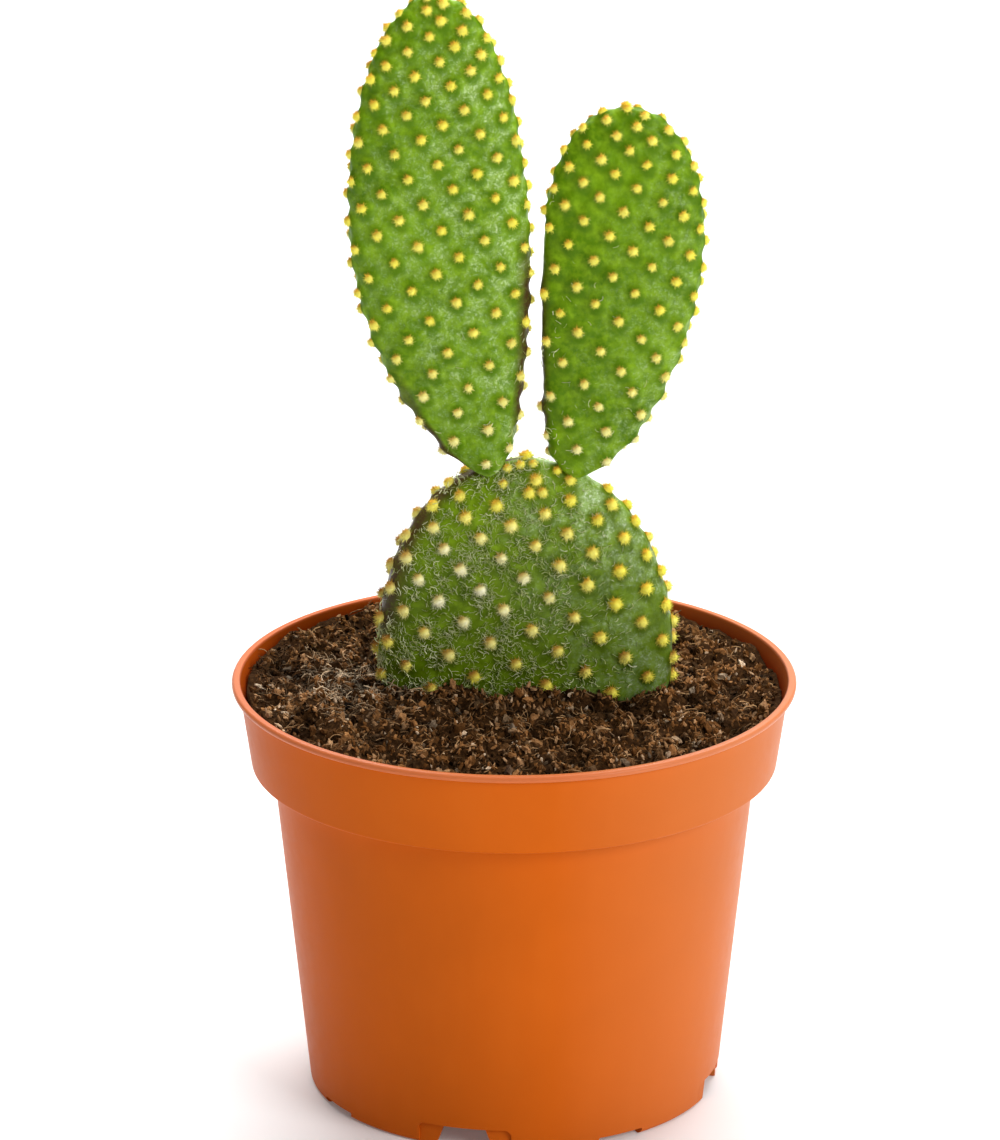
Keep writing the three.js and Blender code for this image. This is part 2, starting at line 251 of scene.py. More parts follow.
def mixColor(tree, factor, a, b):
    made = addNode(tree, "ShaderNodeMix", {"Factor": factor}, data_type="RGBA")
    for socket, value in ((made.inputs[6], a), (made.inputs[7], b)):
        wire(tree, socket, value if isinstance(value, bpy.types.NodeSocket) else (*value, 1))
    return made.outputs[2]


def between(tree, value, fromLow, fromHigh, toLow=0.0, toHigh=1.0):
    inputs = {"Value": value, "From Min": fromLow, "From Max": fromHigh, "To Min": toLow, "To Max": toHigh}
    return addNode(tree, "ShaderNodeMapRange", inputs).outputs["Result"]


def brightened(tree, color, value):
    return addNode(tree, "ShaderNodeHueSaturation", {"Color": color, "Value": value}).outputs[0]


def bumpFrom(tree, height, strength, distance, normal=None):
    inputs = {"Height": height, "Strength": strength, "Distance": distance}
    if normal is not None:
        inputs["Normal"] = normal
    return addNode(tree, "ShaderNodeBump", inputs).outputs[0]


def dress(tree, surface, color, roughness=None, normal=None):
    for name, socket in (("Base Color", color), ("Roughness", roughness), ("Normal", normal)):
        if socket is not None:
            tree.links.new(socket, surface.inputs[name])


view = {
    "elevation": 19.39,       # degrees that the camera looks down
    "distance": 1.5,
    "aim": (-3.0 * mm, 0, 114.4 * mm),
    "pixelsPerMm": 4.732,
    "imageHeight": 1140,
}
lights = {
    "ambient": 0.2,
    "floor": 0.84,
    "floorGlow": 0.08,
    "key": {"place": (1.15, -1.05, 0.85), "size": 0.8, "power": 19.5},
    "side": {"place": (1.5, 0.3, 0.35), "size": 1.4, "power": 1.5},
    "fill": {"place": (-1.3, -0.7, 0.7), "size": 1.0, "power": 0.5},
    "overhead": {"place": (0.1, 0.75, 1.5), "size": 1.7, "power": 52},
    "backdrop": {"place": (0, 2.4, 0.9), "size": 2.4, "power": 14},
}


def setCamera():
    camera = bpy.data.cameras.new("camera")
    holder = bpy.data.objects.new("camera", camera)
    scene.collection.objects.link(holder)
    camera.sensor_width = 36
    camera.lens = camera.sensor_width * view["pixelsPerMm"] * view["distance"] / mm / view["imageHeight"]
    camera.clip_end = 20
    tilt = math.radians(view["elevation"])
    back = Vector((0, -math.cos(tilt), math.sin(tilt)))
    holder.location = Vector(view["aim"]) + back * view["distance"]
    holder.rotation_euler = (math.pi / 2 - tilt, 0, 0)
    scene.camera = holder


def softLight(name, place, size, power):
    light = bpy.data.lights.new(name, "AREA")
    light.shape = "SQUARE"
    light.size = size
    light.energy = power
    holder = bpy.data.objects.new(name, light)
    holder.location = place
    aim = Vector((0, 0, 0.12)) - Vector(place)
    holder.rotation_euler = aim.to_track_quat("-Z", "Y").to_euler()
    scene.collection.objects.link(holder)


def setStudio():
    scene.view_settings.view_transform = "Standard"
    world = bpy.data.worlds.new("studio")
    world.use_nodes = True
    background = world.node_tree.nodes["Background"]
    background.inputs["Color"].default_value = (1, 1, 1, 1)
    background.inputs["Strength"].default_value = lights["ambient"]
    scene.world = world
    for name in ("key", "side", "fill", "overhead", "backdrop"):
        softLight(name, **lights[name])
    material, tree, surface = shaderTree("paleFloor", roughness=0.9, specular=0.2)
    surface.inputs["Base Color"].default_value = (lights["floor"],) * 3 + (1,)
    surface.inputs["Emission Color"].default_value = (1, 1, 1, 1)
    surface.inputs["Emission Strength"].default_value = lights["floorGlow"]
    half, z = 6, -0.0001
    corners = [(-half, -half, z), (half, -half, z), (half, half, z), (-half, half, z)]
    newPiece("floor", corners, [(0, 1, 2, 3)], material, smooth=False)


setCamera()
setStudio()
print("camera and studio set")


# The nursery pot, moulded in satin plastic. Its lengths are in millimetres.
pot = {
    "height": 90.5,
    "rimRadius": 60,
    "wall": 1.1,
    "lipWidth": 1.9,
    "lipThickness": 1.5,
    "flareHeight": 4,         # from the top down to where the inside starts to widen to the lip
    "collarTop": 58.4,
    "collarBottom": 56,
    "collarHeight": 17,
    "bodyFoot": 43.93,
    "bodyTaper": 0.1045,
    "footInner": 42,
    "footCorner": 0.9,
    "floorUnderside": 5,
    "segments": 256,
    "firstNotch": -14,        # degrees from the front
    "notchReach": (39.5, 47),               # from what radius to what radius a notch is cut
    "deepNotch": (4.7, 6.3, 4.6, 0.5),      # half its top, half its foot, its height and corner
    "shallowNotch": (5.4, 4.6, 1.3, 0.4),
    "window": (13.2, 0.3, 4.8, 1.6),        # degrees to each side, depth, height and corner
    "drainHoles": 8,
    "drainRadius": 3,
    "drainCircle": 27,
    "color": (0.56, 0.107, 0.006),
    "paintedRightSheen": (0.55, 0.175, 0.054),          # painted sheen: the right side painted paler, where the key light falls
    "paintedInnerShade": (0.2, 0.019, 0.0015),           # painted shade on the inside above the peat
    "paintedLipHighlight": (0.6, 0.24, 0.14),
    "bodyFinish": {"specular": 0.035, "roughness": 0.36, "frontHighlight": 0},
    "lipFinish": {"specular": 0.14, "roughness": 0.3, "frontHighlight": 0.28},    # painted highlight: the lip painted paler at the front, not at the back
}
lipUnderside = pot["height"] - pot["lipThickness"]
collarFoot = lipUnderside - pot["collarHeight"]
shelfHeight = collarFoot + pot["wall"]
floorTop = pot["floorUnderside"] + pot["wall"]


def bodyRadius(height):
    return pot["bodyFoot"] + pot["bodyTaper"] * height


def collarRadius(height):
    up = (height - collarFoot) / pot["collarHeight"]
    return pot["collarBottom"] + (pot["collarTop"] - pot["collarBottom"]) * up


def arcPoints(radius, height, size, start, end, steps):
    angles = np.radians(np.linspace(start, end, steps + 1))
    return [(radius + size * math.cos(a), height + size * math.sin(a)) for a in angles]


def wallPoints(start, end, steps):
    return [tuple(np.add(start, np.subtract(end, start) * i / steps)) for i in range(1, steps)]


def potProfile():
    edge = pot["lipThickness"] / 2
    corner = 0.55
    footTurn = pot["footCorner"]
    rimInner = pot["rimRadius"] - pot["lipWidth"]
    bodyTop = (bodyRadius(collarFoot), collarFoot)
    bodyStart = (bodyRadius(footTurn), footTurn)
    flareFoot = pot["height"] - pot["flareHeight"]
    ledge = collarRadius(shelfHeight) - pot["wall"]
    innerTop = bodyRadius(shelfHeight) - pot["wall"]
    innerFoot = bodyRadius(floorTop) - pot["wall"]
    points = [(0, pot["floorUnderside"]), (pot["footInner"] - 0.5, pot["floorUnderside"])]
    points += [(pot["footInner"], pot["floorUnderside"] - 0.5), (pot["footInner"], 0.35)]
    points += arcPoints(pot["footInner"] + 0.35, 0.35, 0.35, 180, 270, 3)
    points += arcPoints(bodyRadius(footTurn) - footTurn, footTurn, footTurn, -90, 0, 6)
    points += wallPoints(bodyStart, bodyTop, 12)
    points += arcPoints(bodyTop[0] + 0.35, bodyTop[1] - 0.35, 0.35, 180, 90, 3)
    points += arcPoints(pot["collarBottom"] - corner, collarFoot + corner, corner, -90, 0, 5)
    points += wallPoints((pot["collarBottom"], collarFoot + corner), (pot["collarTop"], lipUnderside), 4)
    points += arcPoints(pot["collarTop"] + 0.3, lipUnderside - 0.3, 0.3, 180, 90, 3)
    points += arcPoints(pot["rimRadius"] - edge, pot["height"] - edge, edge, -90, 90, 10)
    points += arcPoints(rimInner + corner, pot["height"] - corner, corner, 90, 180, 5)
    points += [(collarRadius(flareFoot) - pot["wall"], flareFoot)]
    points += [(ledge, shelfHeight + 0.4), (ledge - 0.4, shelfHeight)]
    points += [(innerTop + 0.3, shelfHeight), (innerTop, shelfHeight - 0.3)]
    points += [(innerFoot, floorTop + 0.6), (innerFoot - 0.6, floorTop), (0, floorTop)]
    return points


def ringPoints(radius, height, steps, middle=(0, 0)):
    angles = [turn * i / steps for i in range(steps)]
    return [(middle[0] + radius * math.cos(a), middle[1] + radius * math.sin(a), height) for a in angles]


def inMetres(points):
    return [(x * mm, y * mm, z * mm) for x, y, z in points]


def spun(points, segments):
    ring = [p for p in points if p[0] > 0]
    verts = [p for radius, height in ring for p in ringPoints(radius, height, segments)]
    low, high = len(verts), len(verts) + 1
    verts += [(0, 0, points[0][1]), (0, 0, points[-1][1])]
    return inMetres(verts), bandFaces(len(ring), segments) + capFaces(len(ring), segments, low, high)


# The faces between rings of points laid one after the other, and the two fans that close them.
def bandFaces(rings, around):
    faces = []
    for j in range(rings - 1):
        for i in range(around):
            k = (i + 1) % around
            faces.append((j * around + i, j * around + k, (j + 1) * around + k, (j + 1) * around + i))
    return faces


def capFaces(rings, around, low, high):
    last = (rings - 1) * around
    faces = []
    for i in range(around):
        k = (i + 1) % around
        faces.append((low, k, i))
        faces.append((high, last + i, last + k))
    return faces


def potPlastic(name, specular, roughness, frontHighlight):
    material, tree, surface = shaderTree(name, specular=specular)
    place = objectPlace(tree)
    cloud = noiseAt(tree, place, 45 * mm, detail=3)
    streak = noiseAt(tree, objectPlace(tree, scale=(1, 1, 0.12)), 7 * mm, detail=3)
    deep = tuple(c * 0.95 for c in pot["color"])
    pale = tuple(c * 1.05 for c in pot["color"])
    tint = mixColor(tree, between(tree, cloud, 0.35, 0.65), deep, pale)
    tint = mixColor(tree, between(tree, streak, 0.5, 0.8, 0, 0.08), tint, (0.66, 0.17, 0.02))
    axes = addNode(tree, "ShaderNodeSeparateXYZ", {0: place}).outputs
    # painted sheen: the right side is painted paler, where the key light falls
    tint = mixColor(tree, between(tree, axes["X"], 8 * mm, 48 * mm, 0, 0.62), tint, pot["paintedRightSheen"])
    # painted highlight: the lip is painted paler towards the front
    tint = mixColor(tree, between(tree, axes["Y"], 5 * mm, 35 * mm, frontHighlight, 0), tint, pot["paintedLipHighlight"])
    # painted shade: the inside above the peat is painted darker, more so further down
    tint = mixColor(tree, shaderAttribute(tree, "inside"), tint, pot["paintedInnerShade"])
    worn = noiseAt(tree, place, 3 * mm, detail=6, roughness=0.7)
    rough = between(tree, worn, 0.3, 0.7, roughness - 0.03, roughness + 0.05)
    grain = noiseAt(tree, place, 0.35 * mm, detail=3)
    wave = noiseAt(tree, objectPlace(tree, scale=(1, 1, 0.35)), 14 * mm, detail=2)
    soft = bumpFrom(tree, wave, 0.25, 0.5 * mm)
    dress(tree, surface, tint, rough, bumpFrom(tree, grain, 0.12, 0.05 * mm, soft))
    return material


def prism(outline, angle, near, far):
    a = math.radians(angle)
    across, outward = Vector((math.cos(a), math.sin(a), 0)), Vector((math.sin(a), -math.cos(a), 0))
    count = len(outline)
    verts = []
    for reach in (near, far):
        for x, z in outline:
            verts.append((across * x + outward * reach + Vector((0, 0, z))) * mm)
    faces = [tuple(range(count)), tuple(range(2 * count - 1, count - 1, -1))]
    faces += [(i, i + count, (i + 1) % count + count, (i + 1) % count) for i in range(count)]
    return verts, faces


def roundedTop(halfTop, halfBottom, height, corner):
    below = 1.0
    foot = halfBottom + (halfBottom - halfTop) / height * below
    right = arcPoints(halfTop - corner, height - corner, corner, 0, 90, 4)
    left = [(-x, z) for x, z in reversed(right)]
    return [(-foot, -below), (foot, -below), *right, *left]


# The shallow window in the outside round a deep notch, with rounded upper corners.
def sectorCut(angle, half, radius, height, corner):
    steps = 24
    outer = pot["bodyFoot"] + 5
    verts, faces = [], []
    for i in range(steps + 1):
        share = 2 * i / steps - 1
        a = math.radians(angle - 90 + half * share)
        edge = max(0, abs(share) * half - (half - corner)) / corner
        top = height - (1 - math.sqrt(max(0, 1 - edge ** 2)))
        for reach, z in ((radius, -1), (outer, -1), (outer, top), (radius, top)):
            verts.append((reach * math.cos(a), reach * math.sin(a), z))
    for i in range(steps):
        for j in range(4):
            k = (j + 1) % 4
            faces.append((4 * i + j, 4 * i + k, 4 * i + 4 + k, 4 * i + 4 + j))
    faces += [(3, 2, 1, 0), tuple(4 * steps + j for j in range(4))]
    return inMetres(verts), faces


def drainCut(x, y):
    steps = 32
    heights = (pot["floorUnderside"] - 1.5, floorTop + 1.5)
    verts = [p for z in heights for p in ringPoints(pot["drainRadius"], z, steps, (x, y))]
    faces = [tuple(range(steps - 1, -1, -1)), tuple(range(steps, 2 * steps))]
    faces += [(i, (i + 1) % steps, steps + (i + 1) % steps, steps + i) for i in range(steps)]
    return inMetres(verts), faces


def fixNormals(mesh):
    work = bmesh.new()
    work.from_mesh(mesh)
    bmesh.ops.remove_doubles(work, verts=work.verts, dist=1e-7)
    bmesh.ops.recalc_face_normals(work, faces=work.faces)
    work.to_mesh(mesh)
    work.free()


def applyModifiers(piece):
    graph = bpy.context.evaluated_depsgraph_get()
    mesh = bpy.data.meshes.new_from_object(piece.evaluated_get(graph), depsgraph=graph)
    piece.modifiers.clear()
    old = piece.data
    piece.data = mesh
    bpy.data.meshes.remove(old)
    mesh.name = piece.name


def makePot():
    plastic = potPlastic("terracottaPlastic", **pot["bodyFinish"])
    verts, faces = spun(potProfile(), pot["segments"])
    piece = newPiece("nursery_pot", verts, faces, plastic)
    cuts = []
    half, depth, height, corner = pot["window"]
    for i in range(4):
        angle = pot["firstNotch"] + 90 * i
        cuts.append(prism(roundedTop(*pot["deepNotch"]), angle, *pot["notchReach"]))
        cuts.append(sectorCut(angle, half, pot["bodyFoot"] - depth, height, corner))
        cuts.append(prism(roundedTop(*pot["shallowNotch"]), angle + 45, *pot["notchReach"]))
    for x, y, _ in ringPoints(pot["drainCircle"], 0, pot["drainHoles"]) + [(0, 0, 0)]:
        cuts.append(drainCut(x, y))
    for verts, faces in cuts:
        cutter = newPiece("cutter", verts, faces, plastic, smooth=False)
        fixNormals(cutter.data)
        cut = piece.modifiers.new("cut", "BOOLEAN")
        cut.operation = "DIFFERENCE"
        cut.solver = "EXACT"
        cut.object = cutter
        applyModifiers(piece)
        bpy.data.objects.remove(cutter)
    piece.data.polygons.foreach_set("use_smooth", [True] * len(piece.data.polygons))
    piece.data.set_sharp_from_angle(angle=math.radians(38))
    piece.data.materials.append(potPlastic("terracottaLip", **pot["lipFinish"]))
    for face in piece.data.polygons:
        if face.center.z / mm > lipUnderside + 0.1:
            face.material_index = 1
    # painted shade on the inside wall: its strength grows further below the rim
    inside = []
    mouth = pot["rimRadius"] - pot["lipWidth"]
    for vertex in piece.data.vertices:
        radius, z = math.hypot(vertex.co.x, vertex.co.y) / mm, vertex.co.z / mm
        innerRadius = mouth if z > lipUnderside else collarRadius(z) - pot["wall"]
        isInside = z > shelfHeight - 1 and radius < innerRadius + 0.25
        inside.append(min(1, 0.4 + 0.2 * max(0, pot["height"] - z)) if isInside else 0)
    floatAttribute(piece.data, "inside", inside)
    return piece


potPiece = makePot()
finishPiece(potPiece, "pot")
print("pot:", len(potPiece.data.polygons), "faces")


# The three pads. A pad is a row of level sections from its foot to its tip. Bloom and sheen, hair, and
# youth and light say how much there is in the middle, how much more to the right and how much more to the
# tip; cork says on which sides a brown edge runs, from what rise to what rise, and how far out it starts.
# Bloom and sheen is pale wax bloom, and on the base pad's right side also a painted highlight; youth and
# light paints the skin lighter in some places and darker in others, partly as paler young skin and partly
# as painted light and shade by side.
sectionPower = 2.6
edgeCrowding = 2.2
tipCrowding = 1.35
padGap, tuftGap, budGap = 1.8, 3.1, 2.6    # how clear an areole keeps of other pads, tufts and buds
hairsAbove = 87                            # the peat's level, in millimetres
basePad = {
    "name": "base_pad", "foot": (2.8, 1, 61.3), "tip": (2.1, 1, 138.95), "widestAt": 96,
    "halfWidth": 31, "halfThickness": 8, "lean": 0.02, "fullness": 0.03, "flare": 0,
    "footBlunt": 0.8, "tipBlunt": 0.85, "bend": 1, "areoles": 200, "turn": 1,
    "mound": 0.4, "moundSpread": 2.2, "rows": 190, "around": 240,
    # its bloom, heavier to the right, is partly a painted highlight on the waxy skin
    "bloomAndSheen": (-0.02, 0.7, 0.42), "hair": (0.75, -0.95, 0.1), "cork": ((-1, 0.0, 1.3, 0.83),),
    "youthAndLight": (0.16, -0.18, 1.02), "tuftSize": 1.18,
    "buds": ((6.0, 132.9, 0.95), (4.6, 135.3, 1.15), (-1.4, 137.4, 0.8), (1.3, 138.0, 0.85),
             (4.0, 138.2, 0.75), (9.0, 136.9, 0.8), (11.7, 135.0, 1.0), (-2.2, 134.6, 0.8)),
}
leftEar = {
    "name": "left_ear_pad", "foot": (-5.4, -0.6, 135.65), "tip": (-16.2, 0.5, 239.2),
    "widestAt": 188.4, "halfWidth": 18.56, "halfThickness": 4.9, "lean": 0.04, "fullness": -0.1,
    "flare": 0.11, "footBlunt": 0.4, "tipBlunt": 0.8, "bend": 4, "areoles": 213, "turn": 1,
    "mound": 0.85, "moundSpread": 2.2, "rows": 240, "around": 190,
    "bloomAndSheen": (0.5, 0.3, 0.12), "hair": (-0.25, 0.4, -0.75),
    "cork": ((1, -0.9, 0.1, 0.84), (-1, -1.3, -0.5, 0.74)),
    "youthAndLight": (0.42, 0.02, 0.1), "tuftSize": 0.97, "buds": (),
}
rightEar = {
    "name": "right_ear_pad", "foot": (13.1, -0.6, 135.45), "tip": (23.1, 0.5, 215.5),
    "widestAt": 176.1, "halfWidth": 16.35, "halfThickness": 4.7, "lean": 0.2, "fullness": 0.08,
    "flare": 0, "footBlunt": 0.4, "tipBlunt": 0.8, "bend": 2.9, "areoles": 165, "turn": -1,
    "mound": 0.85, "moundSpread": 2.1, "rows": 200, "around": 190,
    "bloomAndSheen": (0.15, 0.25, -0.1), "hair": (0.1, -0.5, -0.5), "cork": ((-1, -0.9, 0.3, 0.87),),
    "youthAndLight": (0.3, -0.01, 0.08), "tuftSize": 0.92, "buds": (),
}
peat = {
    "dropAtWall": 2.8,
    "tilt": 0.6,
    "sink": 0.9,
    "heapPower": 1.1,
    "hollow": (18.9, -14, 6.3, 1.8),   # place, spread and depth
    "waves": ((0.5, 0.27, -0.38, 2.3), (0.4, 0.5, 0.2, 1.1), (0.4, -0.2, 0.45, 0.4), (0.3, 0.44, -0.31, 4)),
    "clearance": 0.3,
    "dark": ((-49, 9, 7), (-27, 6, 6), (18.9, -14, 6)),   # places in shadow and their spread
    "heaps": ((41, 39.6, 6, 1.2), (49.4, 28.5, 5, 1.6), (-49.6, 28, 7, 2.0)),   # against the wall
    "pale": (-35, -1, 12, 15),         # a dry patch's place, width and depth
    "rings": 150,
    "around": 480,
}


def peatRadius(height):
    outside = bodyRadius(height) if height <= shelfHeight + peat["clearance"] else collarRadius(height)
    return outside - pot["wall"] - peat["clearance"]


def bell(x, y, middleX, middleY, spread):
    return math.exp(-(((x - middleX) ** 2 + (y - middleY) ** 2) / spread ** 2))


def peatHeight(x, y):
    wallHeight = pot["height"] - peat["dropAtWall"]
    out = min(1, math.hypot(x, y) / peatRadius(wallHeight))
    atWall = wallHeight - peat["tilt"] * math.cos(math.atan2(y, x)) * out
    middle = pot["height"] - peat["sink"]
    heap = middle + (atWall - middle) * out ** peat["heapPower"]
    lumps = sum(h * math.sin(kx * x + ky * y + phase) for h, kx, ky, phase in peat["waves"])
    return heap + lumps - peat["hollow"][3] * bell(x, y, *peat["hollow"][:3])


def padSection(pad, rise):
    foot, tip = pad["foot"], pad["tip"]
    reach = np.where(rise > 0, tip[2] - pad["widestAt"], pad["widestAt"] - foot[2])
    z = pad["widestAt"] + rise * reach
    up = (z - foot[2]) / (tip[2] - foot[2])
    rounding = np.sqrt(np.maximum(0, 1 - rise * rise))
    blunt = pad["footBlunt"] + (pad["tipBlunt"] - pad["footBlunt"]) * (rise + 1) / 2
    swell = 1 + pad["lean"] * rise + pad["fullness"] * rise ** 2 + pad["flare"] * rise ** 3
    x = tip[0] + (foot[0] - tip[0]) * np.maximum(0, 1 - up) ** pad["bend"]
    y = foot[1] + (tip[1] - foot[1]) * up
    return x, y, z, pad["halfWidth"] * swell * rounding, pad["halfThickness"] * rounding ** blunt


def signedPower(value, power):
    return np.sign(value) * np.abs(value) ** power


def skinPoint(pad, rise, angle):
    x, y, z, halfWidth, halfThickness = padSection(pad, rise)
    px = x + halfWidth * signedPower(np.cos(angle), 2 / sectionPower)
    py = y + halfThickness * signedPower(np.sin(angle), 2 / sectionPower)
    return np.stack([px, py, z + 0 * px], axis=-1)


def skinNormal(pad, rise, angle):
    step = 1e-3
    along = skinPoint(pad, min(1.0, rise + step), angle) - skinPoint(pad, max(-1.0, rise - step), angle)
    across = skinPoint(pad, rise, angle + step) - skinPoint(pad, rise, angle - step)
    normal = np.cross(across, along)
    return normal / np.linalg.norm(normal)


def girthOf(pad, rise, angles):
    steps = np.diff(skinPoint(pad, np.full(len(angles), rise), angles), axis=0)
    return np.concatenate([[0], np.cumsum(np.hypot(steps[:, 0], edgeCrowding * steps[:, 1]))])


# Each areole is a golden angle further round than the last, and all have a like area of skin.
def areolesOf(pad):
    rows, around = 200, 64
    goldenTurn = 0.381966
    angles = np.linspace(0, turn, around + 1)
    rises = -np.cos(np.linspace(0, math.pi, rows + 1))
    z, thick = padSection(pad, rises)[2], padSection(pad, rises)[4]
    slants = np.hypot(np.diff(z), np.diff(thick))
    girths = np.array([girthOf(pad, r, angles)[-1] for r in (rises[1:] + rises[:-1]) / 2])
    areas = np.concatenate([[0], np.cumsum(slants * girths)])
    places = []
    for n in range(pad["areoles"]):
        share = 1 - (1 - (n + 0.9) / pad["areoles"]) ** tipCrowding
        rise = float(np.interp(share * areas[-1], areas, rises))
        lengths = girthOf(pad, rise, angles)
        part = (pad["turn"] * n * goldenTurn) % 1
        length = (part * lengths[-1] + 0.5 * math.sin(7.3 * n)) % lengths[-1]
        angle = float(np.interp(length, lengths, angles))
        places.append((skinPoint(pad, rise, angle), skinNormal(pad, rise, angle)))
    return places


def riseAt(pad, z, margin=0):
    end = pad["tip"] if z > pad["widestAt"] else pad["foot"]
    return (z - pad["widestAt"]) / (abs(end[2] - pad["widestAt"]) + margin)


def frontPoint(pad, x, z):
    rise = riseAt(pad, z)
    middle, _, _, halfWidth, _ = padSection(pad, rise)
    across = signedPower((x - middle) / halfWidth, sectionPower / 2)
    angle = turn - math.acos(float(across))
    return skinPoint(pad, rise, angle), skinNormal(pad, rise, angle)


def isInPad(pad, point, margin):
    rise = riseAt(pad, point[2], margin)
    if abs(rise) >= 1:
        return False
    x, y, z, halfWidth, halfThickness = padSection(pad, rise)
    across = abs(point[0] - x) / (halfWidth + margin)
    deep = abs(point[1] - y) / (halfThickness + margin)
    return across ** sectionPower + deep ** sectionPower < 1


def clearAreoles(pad, others, taken):
    kept = []
    for point, normal in areolesOf(pad):
        tip = point + normal * tuft["cadHeight"]
        outward = point + normal * 2 * tuft["cadHeight"]
        if point[2] < peatHeight(outward[0], outward[1]) + tuft["overPeat"]:
            continue
        if any(isInPad(other, point, padGap) for other in others):
            continue
        if any(np.linalg.norm(t - tip) < tuftGap for t in taken):
            continue
        kept.append((point, normal))
    buds = [frontPoint(pad, x, z) for x, z, _ in reversed(pad["buds"])]
    return [a for a in kept if all(np.linalg.norm(a[0] - bud[0]) > budGap for bud in buds)] + buds


def amountAt(bias, across, rise):
    middle, right, up = bias
    return np.clip(middle + right * across + up * rise, 0, 1)


def padSkin(pad, areoles, material):
    rows, around = pad["rows"], pad["around"]
    rises = -np.cos(np.linspace(0, math.pi, rows + 1))[1:-1]
    angles = np.linspace(0, turn, around, endpoint=False)
    rise, angle = np.meshgrid(rises, angles, indexing="ij")
    points = skinPoint(pad, rise, angle)
    along = np.gradient(points, axis=0)
    across = np.roll(points, -1, axis=1) - np.roll(points, 1, axis=1)
    normals = np.cross(across, along)
    normals /= np.linalg.norm(normals, axis=2, keepdims=True) + 1e-12
    tree = KDTree(len(areoles))
    for i, (place, _) in enumerate(areoles):
        tree.insert(place, i)
    tree.balance()
    flat, out = points.reshape(-1, 3), normals.reshape(-1, 3)
    lift, near, below, matted = np.zeros((4, len(flat)))
    for i, point in enumerate(flat):
        near[i] = tree.find(point)[2]
        # the distance to the tuft just above and left, for the painted shadow under each tuft
        below[i] = tree.find(point + np.array([-0.4, 0, 1.5]))[2]
        soft = noise.noise(Vector(point) * 0.2) * 0.55 + noise.noise(Vector(point) * 0.6) * 0.2
        matted[i] = 0.5 + 2.0 * noise.fractal(Vector(point) * 0.27, 0.7, 2.1, 3)
        lift[i] = pad["mound"] * (math.exp(-(near[i] / pad["moundSpread"]) ** 2) - 0.35) + 0.4 * soft
    flatRise = rise.reshape(-1)
    ends = np.sqrt(np.clip(1 - flatRise ** 2, 0, 1))
    x, y, z, halfWidth, halfThickness = padSection(pad, flatRise)
    share = (flat[:, 0] - x) / halfWidth
    verts = list((flat + out * (lift * np.clip(ends * 6, 0, 1))[:, None]) * mm)
    low, high = len(verts), len(verts) + 1
    verts += [np.array(pad["foot"]) * mm, np.array(pad["tip"]) * mm]
    faces = bandFaces(rows - 1, around) + capFaces(rows - 1, around, low, high)
    skin = newPiece(pad["name"] + "_skin", verts, faces, material)
    edge = np.zeros(len(flat))
    for side, corkLow, corkHigh, start in pad["cork"]:
        along = np.clip((flatRise - corkLow) / 0.2, 0, 1) * np.clip((corkHigh - flatRise) / 0.3, 0, 1)
        edge += np.clip((share * side - start) / 0.12, 0, 1) * along
    strands = amountAt(pad["hair"], share, flatRise) * (z > hairsAbove)
    channels = {
        "near": near,
        "below": below,
        "bloomAndSheen": amountAt(pad["bloomAndSheen"], share, flatRise),
        "strands": strands * np.clip(matted, 0.12, 1.15) * (1 - 0.8 * edge),
        "cork": edge,
        "youthAndLight": amountAt(pad["youthAndLight"], share, flatRise),
    }
    for name, values in channels.items():
        floatAttribute(skin.data, name, np.concatenate([values, [values[0], values[-1]]]))
    return skin


earLook = {
    "deep": (0.068, 0.158, 0.001), "fresh": (0.13, 0.265, 0.002), "light": (0.28, 0.46, 0.012),
    "bloomColor": (0.38, 0.54, 0.17), "flecks": (0.68, 0.84, 0.46), "bloomSize": 5,
    "roughness": 0.38, "shine": 0.08,
}
baseLook = {
    "deep": (0.06, 0.106, 0.001), "fresh": (0.112, 0.19, 0.002), "light": (0.2, 0.32, 0.01),
    "bloomColor": (0.36, 0.5, 0.22), "flecks": (0.6, 0.7, 0.5), "bloomSize": 9,
    "roughness": 0.32, "shine": 0.12,
}


